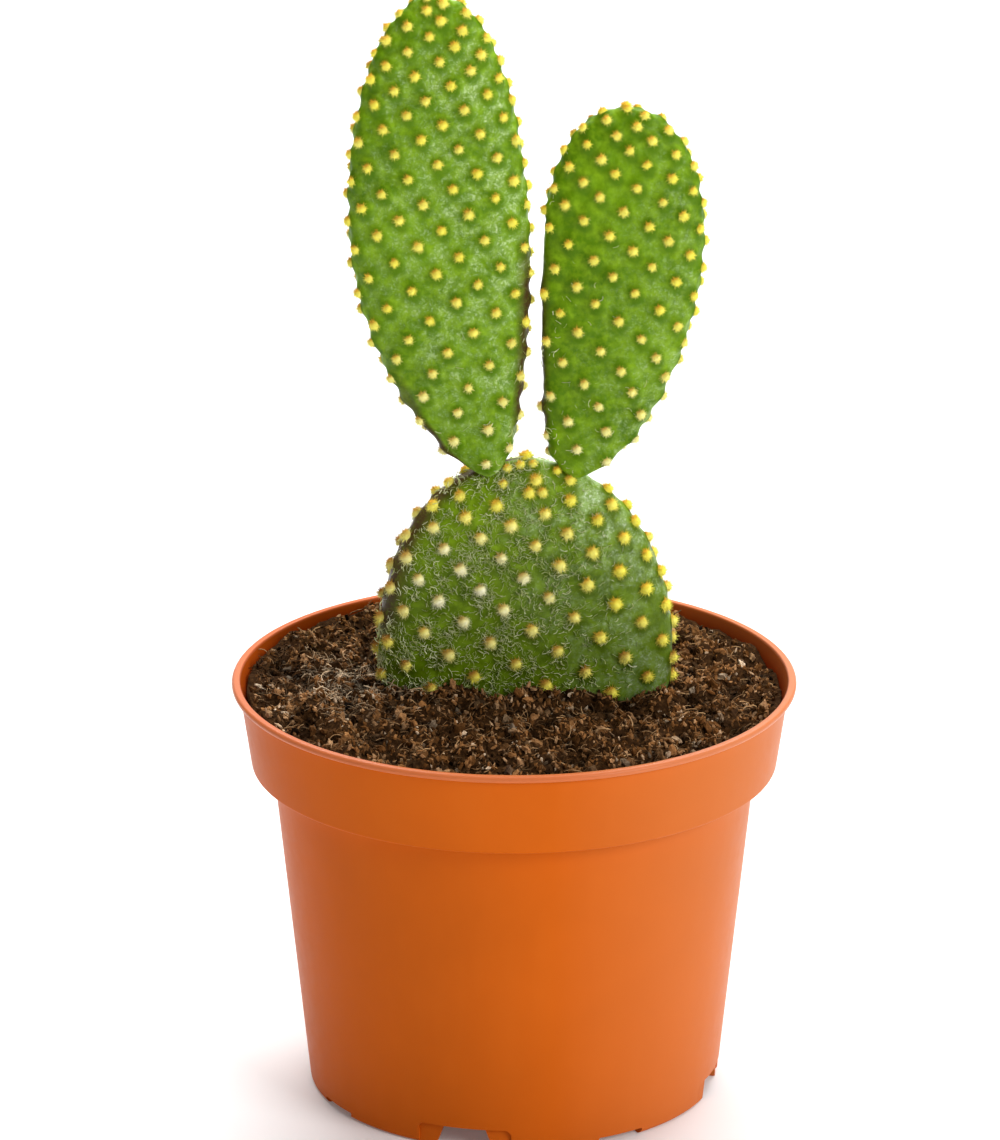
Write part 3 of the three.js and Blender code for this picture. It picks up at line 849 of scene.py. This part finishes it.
def padWax(name, look):
    material, tree, surface = shaderTree(name, specular=look["shine"])
    place = objectPlace(tree)
    broad = noiseAt(tree, place, 16 * mm, detail=4)
    fine = noiseAt(tree, place, 2.2 * mm, detail=5, roughness=0.65)
    fleck = noiseAt(tree, place, 0.7 * mm, detail=4, roughness=0.7, distortion=0.5)
    tint = mixColor(tree, between(tree, broad, 0.35, 0.65), look["deep"], look["fresh"])
    tint = mixColor(tree, between(tree, fine, 0.4, 0.7, 0, 0.7), tint, look["light"])
    # pale bloom between the areoles, in drifts and flecks; on the base pad's right side it also stands for
    # a painted highlight on the waxy skin
    near = shaderAttribute(tree, "near")
    below = shaderAttribute(tree, "below")
    patches = noiseAt(tree, place, look["bloomSize"] * mm, detail=6, roughness=0.7, distortion=0.6)
    drift = between(tree, patches, 0.4, 0.6, 0.05, 1)
    away = between(tree, near, 1.5, 2.9)
    bloomAndSheen = times(tree, times(tree, shaderAttribute(tree, "bloomAndSheen"), drift), away)
    streak = noiseAt(tree, place, 1.3 * mm, detail=5, roughness=0.75, distortion=1.2)
    streaked = times(tree, bloomAndSheen, between(tree, streak, 0.38, 0.62, 0.15, 0.95))
    tint = mixColor(tree, streaked, tint, look["bloomColor"])
    flecked = times(tree, bloomAndSheen, between(tree, fleck, 0.51, 0.63))
    tint = mixColor(tree, times(tree, flecked, 0.9), tint, look["flecks"])
    # painted shadow: dark green under each tuft, and a painted dark ring close round it where tuft and skin
    # meet
    tint = mixColor(tree, between(tree, below, 1.0, 2.1, 0.75, 0), tint, look["deep"])
    tint = mixColor(tree, between(tree, near, 1.4, 1.9, 0.4, 0), tint, look["deep"])
    crust = times(tree, shaderAttribute(tree, "cork"), between(tree, streak, 0.3, 0.5, 0.4, 1))
    tint = mixColor(tree, crust, tint, (0.06, 0.034, 0.01))
    # painted light: the skin is made lighter towards the tip and on some sides, partly for paler young
    # skin, partly as painted light and shade
    lit = between(tree, shaderAttribute(tree, "youthAndLight"), 0, 1, 0.78, 1.45)
    rough = between(tree, fine, 0.3, 0.7, look["roughness"] - 0.06, look["roughness"] + 0.1)
    surface.inputs["Subsurface Weight"].default_value = 0.1
    surface.inputs["Subsurface Radius"].default_value = (0.6, 1.0, 0.2)
    surface.inputs["Subsurface Scale"].default_value = 1.2 * mm
    wrinkles = noiseAt(tree, place, 1.8 * mm, detail=4, distortion=0.4)
    soft = bumpFrom(tree, wrinkles, 0.5, 0.5 * mm)
    dress(tree, surface, brightened(tree, tint, lit), rough, bumpFrom(tree, fleck, 0.4, 0.12 * mm, soft))
    return material


# The tufts of fine barbed bristles, one on each areole. Lengths are in millimetres.
tuft = {
    "cadHeight": 1.5,         # as the solids have it, so that the places agree
    "overPeat": 0.2,          # a tuft lower than this is buried
    "lift": 0.3,
    "radius": 0.98,           # the felt ball that the bristles stand in
    "reach": 0.55,            # how far they stand out of it
    "bristles": 270,
    "thickness": 0.12,
    "spread": 98.0,           # degrees that the outermost bristles lean from the middle one
}
tuftSizes = {name.capitalize(): tuft[name] * mm for name in ("reach", "radius", "lift", "thickness")}
tuftSizes.update({"Bristles": tuft["bristles"], "Spread": math.radians(tuft["spread"])})


def bristleGold():
    material, tree, surface = shaderTree("glochidGold", roughness=0.7, specular=0.15)
    upLeftShade = shaderAttribute(tree, "upLeftShade")
    side = between(tree, upLeftShade, -1, 1)
    # painted shade: orange-brown on each tuft's upper-left side, partly the tufts' own orange middle,
    # partly shade
    places = (0.5, 0.75, 0.97)
    gold = ramp(tree, side, zip(places, ((0.98, 0.91, 0.13), (0.96, 0.82, 0.09), (0.85, 0.5, 0.04))))
    pale = ramp(tree, side, zip(places, ((1.0, 0.98, 0.72), (1.0, 0.95, 0.5), (0.62, 0.45, 0.12))))
    tint = mixColor(tree, shaderAttribute(tree, "cream"), gold, pale)
    brown = times(tree, shaderAttribute(tree, "rust"), between(tree, upLeftShade, -0.3, 0.9, 0, 0.8))
    tint = mixColor(tree, brown, tint, (0.36, 0.14, 0.03))
    lit = between(tree, shaderAttribute(tree, "shade"), 0, 1, 0.82, 1.12)
    dress(tree, surface, brightened(tree, tint, lit))
    return material


def tuftTree(material):
    tree, given = newTree("tufts", {**tuftSizes, "Seed": 1, "Material": material})
    # the side of each tuft that is painted orange-brown, partly as painted shade
    upLeft = (-0.45, 0.0, 0.89)
    sunk = 0.3                # share of the felt ball's radius that the bristles start inside it
    seeds = [plus(tree, given["Seed"], i) for i in range(6)]
    size = attributeIn(tree, "size")
    outward = attributeIn(tree, "outward", "FLOAT_VECTOR")
    points = addNode(tree, "GeometryNodeMeshToPoints", {"Mesh": given["Geometry"]}).outputs[0]
    points = moved(tree, points, scaled(tree, outward, given["Lift"]))
    side = vectorNode(tree, "NORMALIZE", vectorNode(tree, "CROSS_PRODUCT", outward, (0.31, 0.76, 0.57)))
    cross = vectorNode(tree, "CROSS_PRODUCT", outward, side)
    bed = addNode(tree, "GeometryNodeDuplicateElements", {"Geometry": points, "Amount": given["Bristles"]},
                  domain="POINT").outputs["Geometry"]
    spin = randomBetween(tree, 0.0, turn, seeds[0])
    rim = mathNode(tree, "SQRT", randomBetween(tree, 0.0, 1.0, seeds[1]))
    radial = vectorNode(tree, "ADD", scaled(tree, side, mathNode(tree, "COSINE", spin)),
                        scaled(tree, cross, mathNode(tree, "SINE", spin)))
    lean = plus(tree, times(tree, rim, given["Spread"]), randomBetween(tree, -0.2, 0.2, seeds[2]))
    heading = vectorNode(tree, "ADD", scaled(tree, outward, mathNode(tree, "COSINE", lean)),
                         scaled(tree, radial, mathNode(tree, "SINE", lean)))
    bed = storeAs(tree, bed, "upLeftShade", vectorNode(tree, "DOT_PRODUCT", heading, upLeft))
    wide = times(tree, given["Radius"], size)
    bed = moved(tree, bed, scaled(tree, heading, times(tree, wide, 1 - sunk)))
    chance = randomBetween(tree, 0.0, 1.0, seeds[3])
    stand = plus(tree, 0.35, times(tree, times(tree, chance, chance), 1.4))
    outside = times(tree, times(tree, given["Reach"], size), stand)
    length = plus(tree, outside, times(tree, wide, sunk))
    spike = addNode(tree, "GeometryNodeMeshCone",
                    {"Vertices": 3, "Side Segments": 1, "Radius Top": 0.0, "Radius Bottom": 0.5,
                     "Depth": 1.0}, fill_type="NONE").outputs["Mesh"]
    slender = combined(tree, given["Thickness"], given["Thickness"], length)
    shades = randomBetween(tree, 0.0, 1.0, seeds[4])
    spikes = placed(tree, bed, spike, turnedTo(tree, heading), slender, shades)
    ball = addNode(tree, "GeometryNodeMeshUVSphere", {"Segments": 10, "Rings": 6, "Radius": 1.0})
    cushions = placed(tree, points, ball.outputs["Mesh"], turnedTo(tree, outward),
                      combined(tree, wide, wide, wide), 0.5)
    cushions = addNode(tree, "GeometryNodeRealizeInstances", {"Geometry": cushions}).outputs[0]
    normal = tree.nodes.new("GeometryNodeInputNormal").outputs[0]
    cushions = storeAs(tree, cushions, "upLeftShade", vectorNode(tree, "DOT_PRODUCT", normal, upLeft))
    endTree(tree, joined(tree, (spikes, cushions)), given["Material"])
    return tree


def pointBed(name, areoles, channels):
    mesh = bpy.data.meshes.new(name)
    mesh.from_pydata([tuple(point * mm) for point, _ in areoles], [], [])
    vectorAttribute(mesh, "outward", [normal for _, normal in areoles])
    for channel, values in channels.items():
        floatAttribute(mesh, channel, values)
    bed = bpy.data.objects.new(name, mesh)
    scene.collection.objects.link(bed)
    return bed


# Nothing stands higher than the solids do.
def keepUnder(mesh, top):
    points = np.empty(len(mesh.vertices) * 3, np.float32)
    mesh.vertices.foreach_get("co", points)
    heights = points.reshape(-1, 3)[:, 2]
    heights[:] = np.minimum(heights, top)
    mesh.vertices.foreach_set("co", points)
    mesh.update()


# The base pad's tufts are cream in its middle, rusty towards the peat and at its left edge, and gold
# elsewhere. The ears' tufts turn paler towards their feet.
def tuftChannels(pad, areoles, seed):
    random = np.random.default_rng(seed)
    count = len(areoles)
    x, y, z = np.array([point for point, _ in areoles]).T
    sizes = random.uniform(0.88, 1.06, count) * pad["tuftSize"]
    if pad is basePad:
        pale = np.exp(-((z - 113) / 12) ** 2) * np.clip((18 - x) / 22, 0, 1)
        creams = np.clip(pale + random.uniform(-0.1, 0.15, count), 0, 1)
        edgeRust = np.clip((-19 - x) / 6, 0, 1)
        creams *= 1 - 0.7 * edgeRust
        rusts = np.clip((107 - z) / 12, 0, 1) * (1 - pale) + 0.9 * edgeRust
        rusts = np.clip(rusts + random.uniform(-0.2, 0.25, count), 0, 1)
    else:
        creams = np.clip((172 - z) / 60, 0, 0.6) + random.uniform(0, 0.12, count)
        rusts = random.uniform(0, 0.15, count)
    for i, (_, _, size) in enumerate(pad["buds"]):
        sizes[count - 1 - i] = size
    return {"size": sizes, "cream": creams, "rust": rusts}


def makeTufts(pad, areoles, tree, seed):
    bed = pointBed(pad["name"] + "_bed", areoles, tuftChannels(pad, areoles, seed))
    piece = grow(bed, tree, {**tuftSizes, "Seed": seed}, pad["name"] + "_tufts")
    bpy.data.objects.remove(bed)
    keepUnder(piece.data, cadBox[1][2] - 0.05 * mm)
    return piece


youngSkin = padWax("youngPadSkin", earLook)
oldSkin = padWax("oldPadSkin", baseLook)
tufts = tuftTree(bristleGold())
leftAreoles = clearAreoles(leftEar, [rightEar, basePad], [])
leftTips = [point + normal * tuft["cadHeight"] for point, normal in leftAreoles]
rightAreoles = clearAreoles(rightEar, [leftEar, basePad], leftTips)
baseAreoles = clearAreoles(basePad, [leftEar, rightEar], [])
skins = {}
for seed, (pad, areoles, skinMaterial, slot) in enumerate((
        (basePad, baseAreoles, oldSkin, "old_pad_skin"),
        (leftEar, leftAreoles, youngSkin, "young_pad_skin"),
        (rightEar, rightAreoles, youngSkin, "young_pad_skin"))):
    skins[pad["name"]] = padSkin(pad, areoles, skinMaterial)
    finishPiece(skins[pad["name"]], pad["name"])
    bristles = makeTufts(pad, areoles, tufts, seed * 10 + 1)
    finishPiece(bristles, pad["name"])
    print(pad["name"] + ":", len(areoles), "areoles,", len(bristles.data.polygons), "bristle faces")


# The peat: a lumpy bed, grains of two sizes and fibres.
def peatEarth():
    material, tree, surface = shaderTree("peat", roughness=0.95, specular=0.03)
    place = objectPlace(tree)
    broad = noiseAt(tree, place, 12 * mm, detail=5)
    fine = noiseAt(tree, place, 1.1 * mm, detail=6, roughness=0.7)
    tint = ramp(tree, fine, [(0.3, (0.006, 0.0022, 0.0006)), (0.5, (0.03, 0.012, 0.0035)),
                             (0.68, (0.09, 0.042, 0.014))])
    tint = mixColor(tree, between(tree, broad, 0.4, 0.7, 0, 0.4), tint, (0.05, 0.024, 0.01))
    dress(tree, surface, tint, normal=bumpFrom(tree, fine, 0.8, 0.5 * mm))
    return material


def makePeat(material):
    rings, around = peat["rings"], peat["around"]
    low = floorTop + peat["clearance"]
    ledge = shelfHeight + peat["clearance"]
    rim = peatRadius(pot["height"] - peat["dropAtWall"])
    side = [(peatRadius(low), low), (peatRadius(ledge), ledge), (peatRadius(ledge + 0.01), ledge)]
    verts = [p for radius, height in side for p in ringPoints(radius, height, around)]
    top, clumpShading = [0] * len(verts), [0] * len(verts)
    for j in range(rings):
        radius = rim * (1 - j / rings)
        calm = 1 - 0.6 * max(0, 1 - 6 * j / rings)   # where it leans on the pot's wall
        for x, y, _ in ringPoints(radius, 0, around):
            crumbly = noise.fractal(Vector((x, y, 3)) * 0.33, 0.75, 2.1, 6)
            lumpy = noise.noise(Vector((x, y, 8)) * 0.2)
            z = peatHeight(x, y) + calm * (1.2 * crumbly + 1.5 * lumpy)
            z += sum(heap[3] * bell(x, y, *heap[:3]) for heap in peat["heaps"])
            verts.append((x, y, z))
            shadow = sum(bell(x, y, *spot) for spot in peat["dark"])
            # painted shade: darker in the hollows and the shadowed places, lighter on the clumps
            clumpShading.append(0.45 + 0.75 * crumbly + 0.45 * lumpy - 0.45 * shadow)
            top.append(0 if isInPad(basePad, (x, y, 90), 0) or radius > rim - 0.9 else 1)
    bottom, centre = len(verts), len(verts) + 1
    verts += [(0, 0, low), (0, 0, peatHeight(0, 0))]
    faces = bandFaces(len(side) + rings, around) + capFaces(len(side) + rings, around, bottom, centre)
    piece = newPiece("peat", inMetres(verts), faces, material)
    floatAttribute(piece.data, "top", top + [0, 0])
    floatAttribute(piece.data, "clumpShading", np.clip(clumpShading + [0, 0], 0, 1))
    px, py, wide, deep = peat["pale"]
    pale = np.array([math.exp(-(((x - px) / wide) ** 2 + ((y - py) / deep) ** 2)) for x, y, _ in verts])
    floatAttribute(piece.data, "pale", pale)
    floatAttribute(piece.data, "strands", np.array(top + [0, 0]) * (0.3 + 1.9 * pale))
    return piece


def grainTree(name, sizes, material):
    tree, given = newTree(name, {**sizes, "Material": material})
    seeds = [plus(tree, given["Seed"], i) for i in range(7)]
    onTop = mathNode(tree, "GREATER_THAN", attributeIn(tree, "top"), 0.9)
    scatter = scatterOn(tree, given, given["Density"], {"Selection": onTop})
    rise = times(tree, given["Lift"], randomBetween(tree, -1.0, 1.0, seeds[1]))
    points = moved(tree, scatter["Points"], scaled(tree, scatter["Normal"], rise))
    place = tree.nodes.new("GeometryNodeInputPosition").outputs[0]
    shapes = []
    for i in range(5):
        ball = addNode(tree, "GeometryNodeMeshIcoSphere",
                       {"Radius": 1.0, "Subdivisions": given["Detail"]}).outputs["Mesh"]
        at = vectorNode(tree, "ADD", place, (3.7 * i, 1.3 * i, 0.0))
        wobble = addNode(tree, "ShaderNodeTexNoise", {"Vector": at, "Scale": 1.2, "Detail": 2.0})
        push = vectorNode(tree, "SUBTRACT", wobble.outputs["Color"], (0.5, 0.5, 0.5))
        rough = moved(tree, ball, scaled(tree, push, 2.2))
        flat = addNode(tree, "GeometryNodeSetShadeSmooth", {"Geometry": rough, "Shade Smooth": False})
        shape = addNode(tree, "GeometryNodeGeometryToInstance", {"Geometry": flat.outputs[0]})
        shapes.append(shape.outputs[0])
    spin = randomBetween(tree, (0.0, 0.0, 0.0), (turn, turn, turn), seeds[2], "FLOAT_VECTOR")
    size = randomBetween(tree, given["Smallest"], given["Largest"], seeds[3])
    long = combined(tree, given["Stretch"], randomBetween(tree, 0.5, 1.1, seeds[4]), 0.6)
    index = mathNode(tree, "FLOOR", randomBetween(tree, 0.0, 4.99, seeds[5]))
    shades = randomBetween(tree, 0.0, 1.0, seeds[6])
    grains = placed(tree, points, joined(tree, shapes), spin, scaled(tree, long, size), shades,
                    {"Pick Instance": True, "Instance Index": index})
    endTree(tree, grains, given["Material"])
    return tree


# Painted shade: the peat is painted darker in its hollows and lighter on its clumps.
def paintedClumpShade(tree, tint):
    return brightened(tree, tint, between(tree, shaderAttribute(tree, "clumpShading"), 0.2, 0.75, 0.25, 1.7))


def grainEarth():
    material, tree, surface = shaderTree("peatCrumb", roughness=0.8, specular=0.04)
    place = objectPlace(tree)
    fine = noiseAt(tree, place, 0.5 * mm, detail=4, roughness=0.7)
    tint = ramp(tree, shaderAttribute(tree, "shade"), [
        (0, (0.025, 0.01, 0.002)), (0.35, (0.135, 0.055, 0.015)), (0.7, (0.28, 0.13, 0.046)),
        (0.93, (0.38, 0.22, 0.11)), (1, (0.6, 0.46, 0.32))])
    tint = mixColor(tree, between(tree, fine, 0.35, 0.65, 0, 0.6), tint, (0.014, 0.005, 0.0015))
    dress(tree, surface, paintedClumpShade(tree, tint), normal=bumpFrom(tree, fine, 0.7, 0.2 * mm))
    return material


# Bowed strands that lie on a surface, more of them where its strands attribute is high.
def strandTree(name, sizes, material):
    tree, given = newTree(name, {**sizes, "Material": material})
    seeds = [plus(tree, given["Seed"], i) for i in range(6)]
    scatter = scatterOn(tree, given, times(tree, given["Density"], attributeIn(tree, "strands")))
    points = moved(tree, scatter["Points"], scaled(tree, scatter["Normal"], given["Lift"]))
    length = randomBetween(tree, given["Shortest"], given["Longest"], seeds[1])
    bow = addNode(tree, "GeometryNodeCurveQuadraticBezier",
                  {"Resolution": given["Bends"], "Start": (0.0, 0.0, 0.0),
                   "Middle": combined(tree, 0.5, 1.0, 0.12), "End": (1.0, 0.0, 0.0)}).outputs[0]
    section = addNode(tree, "GeometryNodeCurvePrimitiveCircle", {"Resolution": 3, "Radius": 1.0}).outputs[0]
    slender = mathNode(tree, "DIVIDE", given["Thickness"], plus(tree, given["Shortest"], given["Longest"]))
    strand = addNode(tree, "GeometryNodeCurveToMesh",
                     {"Curve": bow, "Profile Curve": section, "Scale": slender}).outputs[0]
    tilt = times(tree, given["Tilt"], randomBetween(tree, -1.0, 0.15, seeds[3]))
    twist = combined(tree, 0.0, tilt, randomBetween(tree, 0.0, turn, seeds[2]))
    twisted = addNode(tree, "FunctionNodeEulerToRotation", {"Euler": twist}).outputs[0]
    facing = addNode(tree, "FunctionNodeRotateRotation",
                     {"Rotation": scatter["Rotation"], "Rotate By": twisted},
                     rotation_space="LOCAL").outputs[0]
    curl = times(tree, times(tree, given["Bow"], length), randomBetween(tree, -1.0, 1.0, seeds[4]))
    strands = placed(tree, points, strand, facing, combined(tree, length, curl, length),
                     randomBetween(tree, 0.0, 1.0, seeds[5]))
    endTree(tree, strands, given["Material"])
    return tree


def strandMaterial(name, dark, light, roughness, clumped=False):
    material, tree, surface = shaderTree(name, roughness=roughness, specular=0.04)
    fine = noiseAt(tree, objectPlace(tree), 0.8 * mm, detail=3)
    tint = mixColor(tree, shaderAttribute(tree, "shade"), dark, light)
    tint = mixColor(tree, between(tree, fine, 0.4, 0.7, 0, 0.35), tint, dark)
    if clumped:
        tint = mixColor(tree, times(tree, shaderAttribute(tree, "pale"), 0.55), tint, (0.6, 0.5, 0.36))
        tint = paintedClumpShade(tree, tint)
    dress(tree, surface, tint)
    return material


# Densities are per square metre.
crumbs = {"Density": 830000.0, "Smallest": 0.28 * mm, "Largest": 0.6 * mm, "Stretch": 1.7,
          "Lift": 0.3 * mm, "Detail": 1, "Seed": 3}
clods = {"Density": 60000.0, "Smallest": 0.6 * mm, "Largest": 1.3 * mm, "Stretch": 1.3,
         "Lift": 0.5 * mm, "Detail": 2, "Seed": 21}
fibres = {"Density": 650000.0, "Shortest": 0.8 * mm, "Longest": 2.8 * mm, "Thickness": 0.2 * mm,
          "Bow": 0.5, "Bends": 4, "Tilt": 0.6, "Lift": 0.3 * mm, "Seed": 5}
fibreLook = strandMaterial("peatFibre", (0.07, 0.028, 0.007), (0.42, 0.25, 0.12), 0.85, clumped=True)
peatPiece = makePeat(peatEarth())
grains = grainTree("grains", crumbs, grainEarth())
peatPieces = [peatPiece, grow(peatPiece, grains, crumbs, "peat_crumbs")]
peatPieces.append(grow(peatPiece, grains, clods, "peat_clods"))
peatPieces.append(grow(peatPiece, strandTree("fibres", fibres, fibreLook), fibres, "peat_fibres"))
for piece in peatPieces:
    finishPiece(piece, "soil")
    print(piece.name + ":", len(piece.data.polygons), "faces")


# Fine pale hairs that lie on the pads' skin.
anyHair = {"Shortest": 0.5 * mm, "Thickness": 0.19 * mm, "Tilt": 0.7, "Lift": 0.12 * mm}
curlyHair = {"Density": 3300000.0, "Longest": 1.3 * mm, "Bow": 0.4, "Bends": 3, "Seed": 31}
longHair = {"Density": 1500000.0, "Longest": 2.0 * mm, "Bow": 0.5, "Bends": 3, "Seed": 36}
earHair = {"Density": 300000.0, "Longest": 1.8 * mm, "Bow": 0.5, "Bends": 4}
hairs = (
    ("base_pad", "hairs", curlyHair),
    ("base_pad", "long_hairs", longHair),
    ("left_ear_pad", "hairs", {**earHair, "Seed": 41}),
    ("right_ear_pad", "hairs", {**earHair, "Seed": 51}),
)
hairLook = strandMaterial("paleHair", (0.55, 0.62, 0.2), (1.0, 1.0, 0.72), 0.6)
hairTree = strandTree("hairs", {**anyHair, **curlyHair}, hairLook)
for name, kind, values in hairs:
    stray = grow(skins[name], hairTree, {**anyHair, **values}, name + "_" + kind)
    finishPiece(stray, name)
    print(stray.name + ":", len(stray.data.polygons), "faces")


def rootBark():
    material, tree, surface = shaderTree("rootBark", roughness=0.9, specular=0.2)
    grain = noiseAt(tree, objectPlace(tree, scale=(1, 1, 0.3)), 2 * mm, detail=5, roughness=0.7)
    tint = ramp(tree, grain, [(0.3, (0.07, 0.03, 0.015)), (0.7, (0.3, 0.17, 0.09))])
    dress(tree, surface, tint, normal=bumpFrom(tree, grain, 0.6, 0.4 * mm))
    return material


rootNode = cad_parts["roots"]
rootNode.data.materials.clear()
rootNode.data.materials.append(rootBark())
print("roots: bark on the solid's own mesh")
